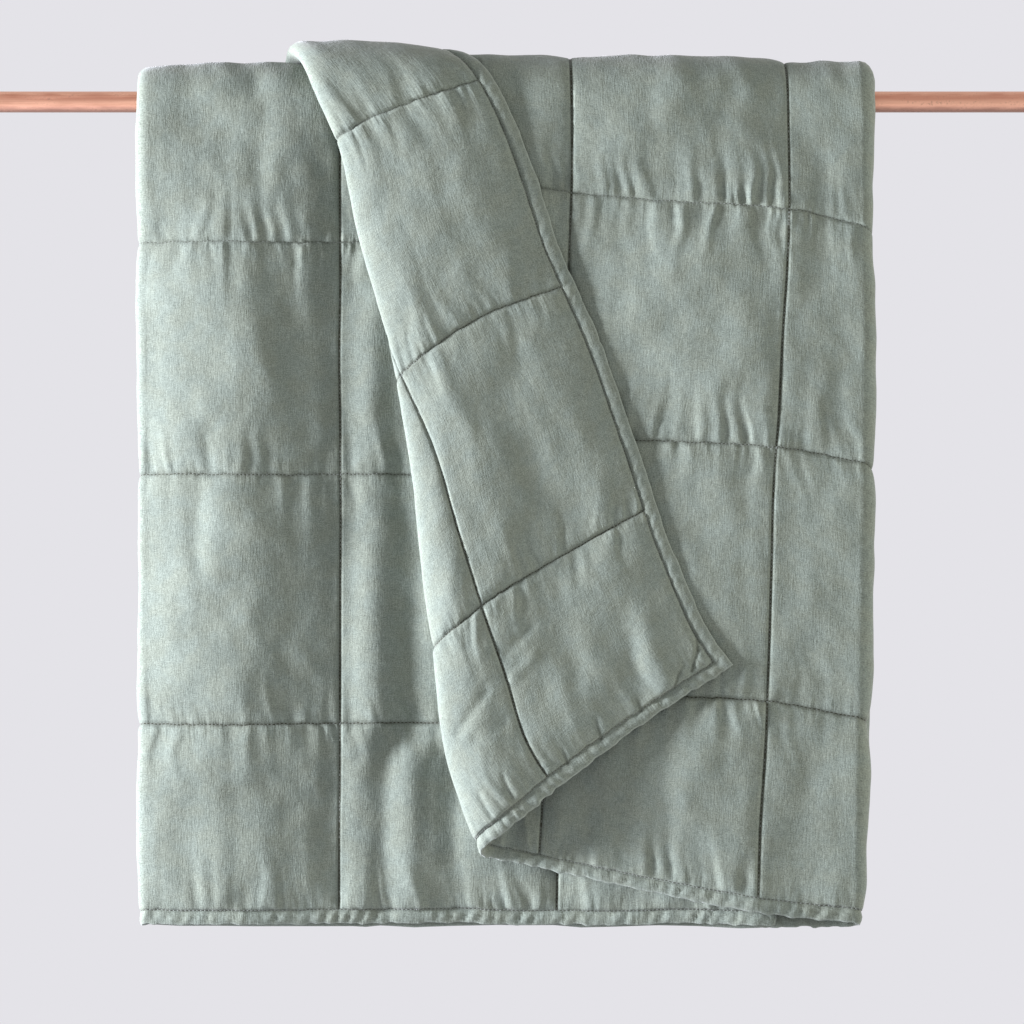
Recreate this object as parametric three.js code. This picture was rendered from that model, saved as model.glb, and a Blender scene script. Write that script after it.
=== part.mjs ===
// A linen quilt sewn in squares, folded in three like a letter and hung over a copper rod,
// with its outer third turned back as a slanted flap.
// Millimetres, +Z up. +X runs along the rod and -Y faces the front. The origin is on the rod's axis.
import * as THREE from "three";

const { clamp, lerp, smoothstep } = THREE.MathUtils;

// Rod
const rodDiameter = 22.2;
const rodLength = 1200;
const rodSides = 32;

// Quilt laid flat: u runs along its length, v across its width from the hem that hangs in front
const squareWidth = 228.6;
const squareCount = 10;
const quiltLength = squareWidth * squareCount;
const quiltWidth = 1727;
const rowSeams = [211, 473, 718, 980, 1247, 1514];

// Thickness of the cloth with its filling
const seamThickness = 3;
const crownThickness = 11.5;
const crownReach = 60;
const hemWidth = 13;
const hemThickness = 7;
const edgeThickness = 3.5;

// Layers, as the height of each one's middle above the rod
const backHeight = 6.4;
const layerPitch = 13.2;
const middleHeight = backHeight + layerPitch;
const topHeight = middleHeight + layerPitch;
const topSag = 4.3; // beside the right turn, where the middle layer ends
const topSagReach = { from: 40, to: 150 };

// Where the layers lie across the rod and how low their front hems hang
const middleEdgeX = 276;
const leftTurnX = -384;
const middleHemDrop = 868;
const backHemDrop = 871;
const rightTurnEnd = 1512; // u where the outer layer starts

// How the whole stack hangs
const closeIn = { by: 5, from: 20, to: 350 }; // the two falls draw together under the rod
const ripple = { height: 3, length: 310, lean: 0.25, from: 60, to: 520 };
const lift = { height: 4, x: -275, width: 60 }; // a soft rise beside the flap's top

// The outer layer and its flap: x, and drop below the rod's axis, where its sewn lines cross each row line.
// Half is midway between the ninth sewn line and the free edge.
const outerRows = [
  { v: 0, turn: [356, 865], seam7: [257, 855], seam8: [29, 808] },
  { v: 211, turn: [360, 649], seam7: [267, 632], seam8: [36, 617] },
  { v: 473, turn: [365, 382], seam7: [277, 366], seam8: [50, 351] },
  { v: 718, turn: [366, 134], seam7: [290, 117], seam8: [63, 99] },
];
const flapRows = [
  { v: 0, seam9: [47, 724], half: [137, 657], edge: [231, 594] },
  { v: 211, seam9: [-32, 532], half: [53, 480], edge: [152, 425] },
  { v: 473, seam9: [-112, 286], half: [-38, 233], edge: [66, 193] },
  { v: 718, half: [-127, 13], edge: [-22, -23] },
];
const hiddenSeam9 = [-168, 48]; // the last row line meets the ninth sewn line under the flap
const overRodX = [364, 286, 59, -166, -277, -388];

// The slanted fold that turns the flap back: a line, how far it bows off that line, and its roll
const foldBottom = { x: -7, drop: 773 };
const foldTop = { x: -214, drop: -82 };
const foldBow = [
  { drop: -300, x: 0 },
  { drop: -82, x: 0 },
  { drop: 49, x: 20 },
  { drop: 241, x: 23 },
  { drop: 464, x: 7 },
  { drop: 690, x: -10 },
  { drop: 773, x: 0 },
];
const rollRadius = { top: 7.8, bottom: 19, length: 800 };
const rollPress = 0.5; // share of the crown that the roll presses out
const settleReach = 90;

// Lines of points on the cloth
const grooveReach = 22;
const rollCuts = { count: 5, to: Math.PI, spare: 0.25 }; // round the flap's roll
const settleCut = Math.PI + 2.5; // past the roll, in radians of it
const rodCuts = { count: 9, to: Math.PI, spare: 0.06 }; // over the rod

const linen = new THREE.MeshStandardMaterial({ color: 0x97a299, roughness: 0.92, metalness: 0 });
const copper = new THREE.MeshStandardMaterial({ color: 0xd59b85, roughness: 0.28, metalness: 1 });

const sewnRows = [hemWidth, ...rowSeams, quiltWidth - hemWidth];
const flapFrom = 8 * squareWidth; // no fold reaches past the eighth sewn line
const rodRadius = rodDiameter / 2;
const topRadius = rodRadius + topHeight;
const arcLength = Math.PI * topRadius;
const leftTurnRadius = (middleHeight - backHeight) / 2;
const rightTurnRadius = (topHeight - topSag - backHeight) / 2;
const leftTurnStart = middleEdgeX - leftTurnX;
const leftTurnEnd = leftTurnStart + Math.PI * leftTurnRadius;
const rightTurnStart = rightTurnEnd - Math.PI * rightTurnRadius;
const foldLength = Math.hypot(foldBottom.x - foldTop.x, foldBottom.drop - foldTop.drop);
const foldWay = {
  x: (foldBottom.x - foldTop.x) / foldLength,
  drop: (foldBottom.drop - foldTop.drop) / foldLength,
};

// A smooth curve through a short table of knots and values, straight past both ends
function curveThrough(knots, values, at) {
  const last = knots.length - 1;
  const slopeAt = (k) => {
    const before = Math.max(k - 1, 0);
    const after = Math.min(k + 1, last);
    return (values[after] - values[before]) / (knots[after] - knots[before]);
  };
  if (at <= knots[0]) return values[0] + slopeAt(0) * (at - knots[0]);
  if (at >= knots[last]) return values[last] + slopeAt(last) * (at - knots[last]);
  const i = knots.findIndex((knot) => knot > at) - 1;
  const span = knots[i + 1] - knots[i];
  const t = (at - knots[i]) / span;
  const rise = t * t * (3 - 2 * t);
  const leaving = t * (1 - t) * (1 - t) * slopeAt(i) * span;
  const arriving = t * t * (1 - t) * slopeAt(i + 1) * span;
  return lerp(values[i], values[i + 1], rise) + leaving - arriving;
}

const bowDrops = foldBow.map((row) => row.drop);
const bowWidths = foldBow.map((row) => row.x);

function bowAt(drop) {
  return curveThrough(bowDrops, bowWidths, clamp(drop, foldBow[0].drop, foldBottom.drop));
}

// Distance along the fold's line from its bottom, and off it to the right
function besideFold(x, drop) {
  const dx = x - bowAt(drop) - foldBottom.x;
  const dDrop = drop - foldBottom.drop;
  return {
    along: dx * foldWay.x + dDrop * foldWay.drop,
    off: dx * foldWay.drop - dDrop * foldWay.x,
  };
}

function fromFold(along, off) {
  const drop = foldBottom.drop + along * foldWay.drop - off * foldWay.x;
  const x = foldBottom.x + along * foldWay.x + off * foldWay.drop + bowAt(drop);
  return { x, drop };
}

function radiusAt(along) {
  return lerp(rollRadius.top, rollRadius.bottom, smoothstep(along, -rollRadius.length, 0));
}

// The flap's point, turned flat again into the outer layer's own plane
function unfold([x, drop]) {
  const { along, off } = besideFold(x, drop);
  const flat = fromFold(along, -off - Math.PI * radiusAt(along));
  return [flat.x, flat.drop];
}

// The outer layer before its flap is turned: sewn lines in columns, row lines in rows
const outerColumns = [rightTurnEnd, ...[7, 8, 9, 9.5].map((n) => n * squareWidth), quiltLength];
const outerFront = outerRows.map(({ turn, seam7, seam8 }, i) => {
  const { seam9, half, edge } = flapRows[i];
  return [turn, seam7, seam8, seam9 ? unfold(seam9) : hiddenSeam9, unfold(half), unfold(edge)];
});
const topClimb = outerFront.at(-1).map((point) => point[1] + outerRows.at(-1).v);
const outerBack = [rowSeams[3], quiltWidth].map((v) =>
  overRodX.map((x, column) => [x, topClimb[column] - v]),
);
const outerLines = [...outerRows.map((row) => row.v), rowSeams[3], quiltWidth];
const outerGrid = [...outerFront, ...outerBack];

function outerLayer(u, v) {
  const [x, drop] = [0, 1].map((axis) => {
    const acrossRows = outerColumns.map((_, column) =>
      curveThrough(outerLines, outerGrid.map((row) => row[column][axis]), v),
    );
    return curveThrough(outerColumns, acrossRows, u);
  });
  return { x, drop };
}

// Angle of the fold's roll that the cloth has reached, negative before the fold
function rollAngle(u, v) {
  const { x, drop } = outerLayer(u, v);
  const { along, off } = besideFold(x, drop);
  return -off / radiusAt(along);
}

// Outer layer with its flap rolled back and settled on the layer below
function turnedLayer(u, v) {
  const { x, drop } = outerLayer(u, v);
  const past = u - rightTurnEnd;
  const height = topHeight - topSag * (1 - smoothstep(past, topSagReach.from, topSagReach.to));
  const { along, off } = besideFold(x, drop);
  if (off >= 0) return { x, drop, height };
  const radius = radiusAt(along);
  const angle = -off / radius;
  if (angle < Math.PI) {
    const rolled = fromFold(along, -radius * Math.sin(angle));
    return { ...rolled, height: height + radius * (1 - Math.cos(angle)) };
  }
  const reach = -off - Math.PI * radius;
  const standing = Math.exp(-((reach / settleReach) ** 2));
  return { ...fromFold(along, reach), height: height + lerp(layerPitch, 2 * radius, standing) };
}

// Place on the flat stack: x along the rod, drop below its axis in front, height above its surface
function stacked(u, v) {
  if (u <= leftTurnStart) {
    return { x: middleEdgeX - u, drop: middleHemDrop - v, height: middleHeight };
  }
  if (u < leftTurnEnd) {
    const angle = (u - leftTurnStart) / leftTurnRadius;
    const share = angle / Math.PI;
    return {
      x: leftTurnX - leftTurnRadius * Math.sin(angle),
      drop: lerp(middleHemDrop, backHemDrop, share) - v,
      height: middleHeight - leftTurnRadius * (1 - Math.cos(angle)),
    };
  }
  if (u >= rightTurnEnd) return turnedLayer(u, v);
  const turn = outerLayer(rightTurnEnd, v);
  if (u <= rightTurnStart) {
    const share = (u - leftTurnEnd) / (rightTurnStart - leftTurnEnd);
    return { x: lerp(leftTurnX, turn.x, share), drop: backHemDrop - v, height: backHeight };
  }
  const angle = (u - rightTurnStart) / rightTurnRadius;
  return {
    x: turn.x + rightTurnRadius * Math.sin(angle),
    drop: lerp(backHemDrop - v, turn.drop, angle / Math.PI),
    height: backHeight + rightTurnRadius * (1 - Math.cos(angle)),
  };
}

function liftAt(x) {
  return lift.height * Math.exp(-(((x - lift.x) / lift.width) ** 2));
}

// Angle that the stack has reached round the rod: 0 level with the axis in front, pi level with it behind
function rodAngle({ x, drop, height }) {
  const frontArc = (Math.max(rodRadius + height + liftAt(x), topRadius) * Math.PI) / 2;
  const over = -drop;
  const quarters = over < frontArc ? over / frontArc : 1 + (over - frontArc) / (arcLength - frontArc);
  return (quarters * Math.PI) / 2;
}

// The stack bent over the rod: straight in front, half round above the axis, straight behind
function hung(place) {
  const { x, drop, height } = place;
  const radius = rodRadius + height + liftAt(x);
  const angle = clamp(rodAngle(place), 0, Math.PI);
  const below = Math.max(drop, -drop - arcLength, 0);
  const drawnIn = closeIn.by * smoothstep(below, closeIn.from, closeIn.to);
  const wave = ripple.height * smoothstep(below, ripple.from, ripple.to);
  const phase = (2 * Math.PI * (x + ripple.lean * below)) / ripple.length;
  return new THREE.Vector3(
    x,
    -(radius - drawnIn) * Math.cos(angle) + wave * Math.sin(phase),
    radius * Math.sin(angle) - below,
  );
}

function middleOf(u, v) {
  return hung(stacked(u, v));
}

function normalOf(u, v) {
  const step = 0.05;
  const alongU = middleOf(u + step, v).sub(middleOf(u - step, v));
  const alongV = middleOf(u, v + step).sub(middleOf(u, v - step));
  return alongU.cross(alongV).normalize();
}

// Quarter-round swell from 0 on a sewn line to 1 at the crown's reach
function swell(distance) {
  const left = 1 - clamp(distance / crownReach, 0, 1);
  return Math.sqrt(1 - left * left);
}

function thicknessOf(u, v) {
  const fromEdge = Math.min(u, quiltLength - u, v, quiltWidth - v);
  if (fromEdge <= hemWidth) {
    const round = Math.sin((Math.PI * fromEdge) / hemWidth);
    return edgeThickness + (hemThickness - edgeThickness) * round;
  }
  const inSquare = u % squareWidth;
  const fromHem = Math.min(u, quiltLength - u) - hemWidth;
  const fromColumn = Math.min(inSquare, squareWidth - inSquare, fromHem);
  const fromRow = Math.min(...sewnRows.map((line) => Math.abs(v - line)));
  const fromTurn = u > flapFrom ? (rollAngle(u, v) * 2) / Math.PI - 1 : -Infinity;
  const pressed = rollPress * Math.exp(-(fromTurn ** 2));
  const crown = (crownThickness - seamThickness) * (1 - pressed);
  return seamThickness + crown * swell(fromColumn) * swell(fromRow);
}

// Lines across one sewn square: the groove's foot, the crown and the next sewn line
function squareLines(from, to) {
  return [from + grooveReach, (from + to) / 2, to - grooveReach, to];
}

function evenLines(from, to, count) {
  return Array.from({ length: count }, (_, i) => lerp(from, to, (i + 1) / count));
}

function columnLines() {
  const hem = [0, hemWidth / 2, hemWidth];
  const seam = (n) => n * squareWidth;
  return [
    ...hem,
    ...squareLines(hemWidth, seam(1)),
    ...squareLines(seam(1), seam(2)),
    ...squareLines(seam(2), leftTurnStart),
    ...evenLines(leftTurnStart, leftTurnEnd, 4),
    seam(3),
    ...[3, 4, 5].flatMap((n) => evenLines(seam(n), seam(n + 1), 2)),
    ...evenLines(seam(6), rightTurnStart, 2),
    ...evenLines(rightTurnStart, rightTurnEnd, 5),
    ...evenLines(rightTurnEnd, seam(7), 3),
    ...squareLines(seam(7), seam(8)),
    ...squareLines(seam(8), seam(9)),
    ...squareLines(seam(9), quiltLength - hemWidth),
    ...hem.slice(0, 2).map((line) => quiltLength - line).reverse(),
  ];
}

function rowLines() {
  const hem = [0, hemWidth / 2, hemWidth];
  return [
    ...hem,
    ...sewnRows.slice(1).flatMap((line, i) => squareLines(sewnRows[i], line)),
    ...hem.slice(0, 2).map((line) => quiltWidth - line).reverse(),
  ];
}

// A corner of the cloth's cells, with the angles it has reached round the flap's roll and round the rod
function cornerAt(u, v) {
  return { u, v, roll: u > flapFrom ? rollAngle(u, v) : -Infinity, bend: rodAngle(stacked(u, v)) };
}

// Cells cut in two along the line where an angle reaches a level; a corner nearly on the line counts as on it
function cutAlong(cells, angle, level, spare) {
  const crossings = new Map();
  const sideOf = (corner) => {
    const off = corner[angle] - level;
    return Math.abs(off) < spare ? 0 : Math.sign(off);
  };
  const crossing = (a, b) => {
    const key = [a.number, b.number].sort().join(" ");
    if (!crossings.has(key)) {
      const share = (level - a[angle]) / (b[angle] - a[angle]);
      crossings.set(key, cornerAt(lerp(a.u, b.u, share), lerp(a.v, b.v, share)));
    }
    return crossings.get(key);
  };
  numberCorners(cells);
  return cells.flatMap((cell) => {
    const sides = cell.map(sideOf);
    if (!sides.includes(1) || !sides.includes(-1)) return [cell];
    const before = [];
    const beyond = [];
    cell.forEach((corner, i) => {
      const j = (i + 1) % cell.length;
      if (sides[i] <= 0) before.push(corner);
      if (sides[i] >= 0) beyond.push(corner);
      if (sides[i] * sides[j] < 0) {
        const between = crossing(corner, cell[j]);
        before.push(between);
        beyond.push(between);
      }
    });
    return [before, beyond];
  });
}

function numberCorners(cells) {
  const corners = [...new Set(cells.flat())];
  corners.forEach((corner, number) => {
    corner.number = number;
  });
  return corners;
}

function clothCells() {
  const columns = columnLines();
  const grid = rowLines().map((v) => columns.map((u) => cornerAt(u, v)));
  let cells = grid.slice(1).flatMap((upper, j) =>
    upper.slice(1).map((corner, i) => [grid[j][i], grid[j][i + 1], corner, upper[i]]),
  );
  const evenly = ({ count, to }) => Array.from({ length: count }, (_, i) => (i * to) / (count - 1));
  for (const level of [...evenly(rollCuts), settleCut]) {
    cells = cutAlong(cells, "roll", level, rollCuts.spare);
  }
  for (const level of evenly(rodCuts)) {
    cells = cutAlong(cells, "bend", level, rodCuts.spare);
  }
  return cells;
}

// Both faces of the cloth, set off its middle by half its thickness, and the narrow rim that joins them
function quiltGeometry() {
  const cells = clothCells();
  const corners = numberCorners(cells);
  const positions = [];
  for (const side of [-1, 1]) {
    for (const { u, v } of corners) {
      const offset = normalOf(u, v).multiplyScalar((side * thicknessOf(u, v)) / 2);
      positions.push(...middleOf(u, v).add(offset).toArray());
    }
  }
  const far = corners.length;
  const triangles = [];
  const rim = new Map();
  for (const cell of cells) {
    const ids = cell.map((corner) => corner.number);
    for (let i = 1; i + 1 < ids.length; i++) {
      triangles.push(far + ids[0], far + ids[i], far + ids[i + 1]);
      triangles.push(ids[0], ids[i + 1], ids[i]);
    }
    ids.forEach((id, i) => {
      const next = ids[(i + 1) % ids.length];
      if (!rim.delete(`${next} ${id}`)) rim.set(`${id} ${next}`, [id, next]);
    });
  }
  for (const [from, to] of rim.values()) {
    triangles.push(far + to, far + from, from);
    triangles.push(far + to, from, to);
  }
  const geometry = new THREE.BufferGeometry();
  geometry.setAttribute("position", new THREE.Float32BufferAttribute(positions, 3));
  geometry.setIndex(triangles);
  geometry.computeVertexNormals();
  return geometry;
}

function rodMesh() {
  const mesh = new THREE.Mesh(new THREE.CylinderGeometry(rodRadius, rodRadius, rodLength, rodSides), copper);
  mesh.name = "rod";
  mesh.rotation.z = Math.PI / 2;
  return mesh;
}

function quiltMesh() {
  const mesh = new THREE.Mesh(quiltGeometry(), linen);
  mesh.name = "quilt";
  return mesh;
}

const part = new THREE.Group();
part.add(rodMesh(), quiltMesh());

export default part;
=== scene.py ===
# A linen quilt sewn in squares, hung over a copper rod with its outer third turned back as a flap
import math

import bpy
import numpy as np
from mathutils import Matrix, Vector


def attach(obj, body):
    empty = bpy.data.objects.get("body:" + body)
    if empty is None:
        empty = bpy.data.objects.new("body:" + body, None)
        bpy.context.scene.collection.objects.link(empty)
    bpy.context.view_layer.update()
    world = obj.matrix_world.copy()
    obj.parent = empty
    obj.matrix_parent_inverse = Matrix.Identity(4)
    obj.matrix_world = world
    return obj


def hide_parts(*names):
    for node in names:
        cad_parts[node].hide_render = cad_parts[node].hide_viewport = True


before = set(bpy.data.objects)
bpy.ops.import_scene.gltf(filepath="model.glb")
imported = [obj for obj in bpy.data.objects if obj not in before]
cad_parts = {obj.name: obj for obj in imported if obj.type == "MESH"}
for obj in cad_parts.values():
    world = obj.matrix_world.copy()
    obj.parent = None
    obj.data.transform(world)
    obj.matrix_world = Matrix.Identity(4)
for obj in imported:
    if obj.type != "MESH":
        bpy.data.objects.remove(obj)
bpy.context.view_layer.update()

metre = 0.001  # the cloth is worked out in millimetres
print("frame loaded:", sorted(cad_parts))


def mix(a, b, share):
    return a + (b - a) * share


def ease(x, low, high):
    t = np.clip((x - low) / (high - low), 0, 1)
    return t * t * (3 - 2 * t)


def bell(x):
    return np.exp(-(x ** 2))


def hills(x, y, seed):
    # smooth random hills about one unit across, from -1 to 1: random heights on a grid, eased in between
    wide, deep = 61, 53  # after which the hills repeat
    heights = np.random.default_rng(seed).uniform(-1, 1, (wide, deep))
    i = np.floor(x).astype(int)
    j = np.floor(y).astype(int)
    s = ease(x - i, 0, 1)
    t = ease(y - j, 0, 1)
    low = mix(heights[i % wide, j % deep], heights[(i + 1) % wide, j % deep], s)
    high = mix(heights[i % wide, (j + 1) % deep], heights[(i + 1) % wide, (j + 1) % deep], s)
    return mix(low, high, t)


def curveThrough(knots, values, at):
    # cubic through the knots, each slope read across both neighbours, straight past the ends
    knots = np.asarray(knots, float)
    values = np.asarray(values, float)
    before = np.maximum(np.arange(len(knots)) - 1, 0)
    after = np.minimum(np.arange(len(knots)) + 1, len(knots) - 1)
    run = (knots[after] - knots[before]).reshape((-1,) + (1,) * (values.ndim - 1))
    slopes = (values[after] - values[before]) / run
    i = np.clip(np.searchsorted(knots, at, side="right") - 1, 0, len(knots) - 2)

    def pick(table, k):
        return table[k] if table.ndim == 1 else np.take_along_axis(table, k[None], 0)[0]

    span = knots[i + 1] - knots[i]
    t = np.clip((at - knots[i]) / span, 0, 1)
    inside = mix(pick(values, i), pick(values, i + 1), t * t * (3 - 2 * t))
    inside = inside + t * (1 - t) ** 2 * pick(slopes, i) * span - t * t * (1 - t) * pick(slopes, i + 1) * span
    past = at - np.clip(at, knots[0], knots[-1])
    return inside + past * np.where(past < 0, slopes[0], slopes[-1])


# The quilt laid flat, in mm: u along its length, v across it from the hem that hangs in front
quiltCut = {
    "square": 228.6,
    "squares": 10,
    "width": 1727.0,
    "rowSeams": [211.0, 473.0, 718.0, 980.0, 1247.0, 1514.0],
    "seamThickness": 2.6,
    "crownThickness": 11.5,
    "crownReach": 60.0,
    "dome": 1.6,  # extra rise in the middle of a square, on faces that show
    "hemWidth": 15.0,
    "hemThickness": 5.6,
    "edgeThickness": 1.6,
}
square = quiltCut["square"]
quiltLength = square * quiltCut["squares"]
quiltWidth = quiltCut["width"]
hemWidth = quiltCut["hemWidth"]
columnSeams = [hemWidth] + [square * n for n in range(1, quiltCut["squares"])] + [quiltLength - hemWidth]
rowSeams = [hemWidth] + quiltCut["rowSeams"] + [quiltWidth - hemWidth]

# How it is folded and hung, in mm: heights above the rod, drops below its axis
quiltHang = {
    "rodRadius": 11.1,
    "backHeight": 6.4,
    "layerPitch": 13.2,
    "topSag": 8.0,
    "topSagReach": (40, 150),
    "middleEdgeX": 276.0,
    "leftTurnX": -384.0,
    "middleHemDrop": 868.0,
    "backHemDrop": 871.0,
    "rightTurnEnd": 1512.0,
    "rightTurnOut": 3.0,  # how much flatter than half round the right turn is pressed
    "rightTurnFade": 70.0,
    "closeIn": (5.0, 20, 350),
    "ripple": {"height": 3.0, "length": 310.0, "lean": 0.25, "from": 60, "to": 520},
    "lift": {"height": 4.0, "x": -275.0, "width": 60.0},
    "settleReach": 90.0,
    # how far the front swings out along the rod, most at the seventh sewn line, which slants
    "swayX": [-390, -280, -180, -60, 60, 130, 220, 256, 280, 290, 304, 340, 400],
    "sway": [0, 1, 0, 2, 1, 4, 9.2, 12.8, 17, 18.4, 17.6, 15.8, 15],
    "swayDrop": (0, 150),
    "swayLean": (0.045, 117),
    # the middle layer swells beside the left turn, less towards its hem and not over the rod
    "leftPuffU": [0, 400, 440, 457, 480, 500, 530, 563, 600, 630, 660],
    "leftPuff": [0, 0, 1.2, 2.6, 3.9, 5.3, 7.8, 9.4, 8.2, 4.0, -5],
    "leftPuffHem": (120, 330),
    "leftPuffAtHem": 0.25,
    "leftPuffTop": (660, 800),
}

# x and drop where the sewn lines of the outer layer and its flap cross each row line
outerRows = [
    {"v": 0, "turn": (356, 865), "seam7": (257, 855), "seam8": (29, 808)},
    {"v": 211, "turn": (360, 649), "seam7": (267, 632), "seam8": (36, 617)},
    {"v": 473, "turn": (365, 382), "seam7": (277, 366), "seam8": (50, 351)},
    {"v": 718, "turn": (366, 134), "seam7": (290, 117), "seam8": (63, 99)},
]
flapRows = [
    {"seam9": (47, 724), "half": (137, 657), "edge": (231, 594)},
    {"seam9": (-32, 532), "half": (53, 480), "edge": (152, 425)},
    {"seam9": (-112, 286), "half": (-38, 233), "edge": (66, 193)},
    {"hidden9": (-168, 48), "half": (-127, 13), "edge": (-22, -23)},
]
overRodX = [364, 286, 59, -166, -277, -388]

# The slanted fold: a line, how far it bows off that line at each drop, and the radius of its roll
flapFold = {
    "bottom": (-7.0, 773.0),
    "top": (-214.0, -82.0),
    "bowDrop": [-300, -82, 49, 147, 241, 363, 464, 600, 690, 773],
    "bowX": [-9, -9, 9.5, 9.4, 14.5, 13, 3, -9.5, -19, -10],
    "radiusTop": 7.0,
    "radiusBottom": 19.0,
    "radiusReach": 800.0,
    "softReach": 52.0,
    "press": 0.5,
    "looseReach": 165.0,  # how far the flap stands off at its lower end
    "looseLength": 420.0,
    "edgeDroop": 4.5,  # how far its free edge sinks onto the cloth below
    "droopReach": 60.0,
}

backHeight = quiltHang["backHeight"]
middleHeight = backHeight + quiltHang["layerPitch"]
topHeight = middleHeight + quiltHang["layerPitch"]
topRadius = quiltHang["rodRadius"] + topHeight
arcLength = math.pi * topRadius
leftRadius = (middleHeight - backHeight) / 2
rightRadius = (topHeight - quiltHang["topSag"] - backHeight) / 2
leftTurnStart = quiltHang["middleEdgeX"] - quiltHang["leftTurnX"]
leftTurnEnd = leftTurnStart + math.pi * leftRadius
rightTurnEnd = quiltHang["rightTurnEnd"]
rightTurnStart = rightTurnEnd - math.pi * rightRadius
foldX, foldDrop = flapFold["bottom"]
foldRun = np.subtract(flapFold["bottom"], flapFold["top"])
wayX, wayDrop = foldRun / np.hypot(*foldRun)


def bowAt(drop):
    # how far the fold bows to the right of its line
    bowDrop = flapFold["bowDrop"]
    return curveThrough(bowDrop, flapFold["bowX"], np.clip(drop, bowDrop[0], foldDrop))


def besideFold(x, drop):
    # distance along the fold from its bottom, and off it to the right
    dx = x - bowAt(drop) - foldX
    dDrop = drop - foldDrop
    return dx * wayX + dDrop * wayDrop, dx * wayDrop - dDrop * wayX


def fromFold(along, off):
    drop = foldDrop + along * wayDrop - off * wayX
    return foldX + along * wayX + off * wayDrop + bowAt(drop), drop


def rollRadius(along):
    return mix(flapFold["radiusTop"], flapFold["radiusBottom"], ease(along, -flapFold["radiusReach"], 0))


def unfold(place):
    # a point of the flap, turned flat again into the outer layer's plane
    along, off = besideFold(*np.array(place, float))
    return fromFold(along, -off - math.pi * rollRadius(along))


outerColumns = [rightTurnEnd] + [square * n for n in (7, 8, 9, 9.5)] + [quiltLength]
outerFront = [
    [row["turn"], row["seam7"], row["seam8"],
     unfold(flap["seam9"]) if "seam9" in flap else flap["hidden9"],
     unfold(flap["half"]), unfold(flap["edge"])]
    for row, flap in zip(outerRows, flapRows)
]
topClimb = [place[1] + outerRows[-1]["v"] for place in outerFront[-1]]
outerLines = [row["v"] for row in outerRows] + [quiltCut["rowSeams"][3], quiltWidth]
outerBack = [[(x, climb - v) for x, climb in zip(overRodX, topClimb)] for v in outerLines[-2:]]
outerGrid = np.array(outerFront + outerBack, float)


def outerLayer(u, v):
    # x and drop of the outer layer before its flap is turned: curves down each sewn line, then across them
    columns = range(len(outerColumns))
    downLines = [[curveThrough(outerLines, outerGrid[:, c, axis], v) for c in columns] for axis in (0, 1)]
    return [curveThrough(outerColumns, np.array(lines), u) for lines in downLines]


def rollAngle(u, v):
    # angle that the cloth has reached round the flap's roll, negative before the fold
    beforeFold = -9.0
    x, drop = outerLayer(np.maximum(u, rightTurnEnd), v)
    along, off = besideFold(x, drop)
    return np.where(u > 8 * square, -off / rollRadius(along), beforeFold)


# Main folds that the hang shows: u and v of both ends, how wide, and how high or deep
mainFolds = [
    {"from": (420, 210), "to": (422, 690), "width": 21, "height": 4.4},
    {"from": (383, 200), "to": (394, 600), "width": 25, "height": -7, "fade": 1.0},
    {"from": (444, 20), "to": (444, 180), "width": 13, "height": 2.0},
    {"from": (411, 15), "to": (412, 190), "width": 13, "height": -2.8},
    {"from": (383, 25), "to": (382, 180), "width": 13, "height": 2.6},
    {"from": (336, 25), "to": (336, 180), "width": 19, "height": -4.5},
    {"from": (538, 740), "to": (541, 900), "width": 14, "height": -2.4},
    {"from": (490, 790), "to": (490, 640), "width": 14, "height": 1.6},
    {"from": (490, 460), "to": (490, 390), "width": 14, "height": 1.6},
    {"from": (490, 110), "to": (490, 40), "width": 14, "height": 1.8},
    {"from": (592, 520), "to": (606, 390), "width": 13, "height": -2.4},
]

# Narrow creases in the flap's own face, most of them where its hem and corner pull; dark is how much painted
# shade lies along a crease
flapCreases = [
    {"from": (2276, 59), "to": (2264, 36), "width": 2.6, "height": -1.2, "dark": 0.6},
    {"from": (2264, 36), "to": (2246, 20), "width": 2.8, "height": -1.4, "dark": 0.65},
    {"from": (2241, 31), "to": (2221, 15), "width": 2.6, "height": -1.2, "dark": 0.6},
    {"from": (2229, 95), "to": (2208, 20), "width": 17, "height": 2.7},
    {"from": (2209, 90), "to": (2188, 26), "width": 12, "height": -1.7},
    {"from": (2181, 28), "to": (2178, 13), "width": 2.8, "height": -1.2, "dark": 0.6},
    {"from": (2134, 33), "to": (2128, 13), "width": 2.8, "height": -1.2, "dark": 0.6},
    {"from": (2087, 26), "to": (2085, 13), "width": 2.8, "height": -1.2, "dark": 0.6},
    {"from": (2011, 44), "to": (2004, 22), "width": 3.2, "height": -1.4},
    {"from": (1972, 44), "to": (1966, 22), "width": 3.2, "height": -1.4},
    {"from": (2003, 95), "to": (2041, 87), "width": 5, "height": -1.8},
    {"from": (1988, 112), "to": (2030, 128), "width": 6, "height": -1.8},
    {"from": (2066, 152), "to": (2108, 162), "width": 5, "height": -1.3},
    {"from": (2066, 126), "to": (2098, 130), "width": 5, "height": 1.3},
]


def handFolds(folds, u, v):
    # soft ridges and troughs: a bell across the distance to each fold's line
    total = np.zeros_like(u)
    for fold in folds:
        start = np.array(fold["from"], float)
        run = np.array(fold["to"], float) - start
        share = np.clip(((u - start[0]) * run[0] + (v - start[1]) * run[1]) / (run @ run), 0, 1)
        away = np.hypot(u - start[0] - share * run[0], v - start[1] - share * run[1])
        height = fold["height"] * (1 - fold.get("fade", 0) * share * share)
        total = total + height * bell(away / fold["width"])
    return total


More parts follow.
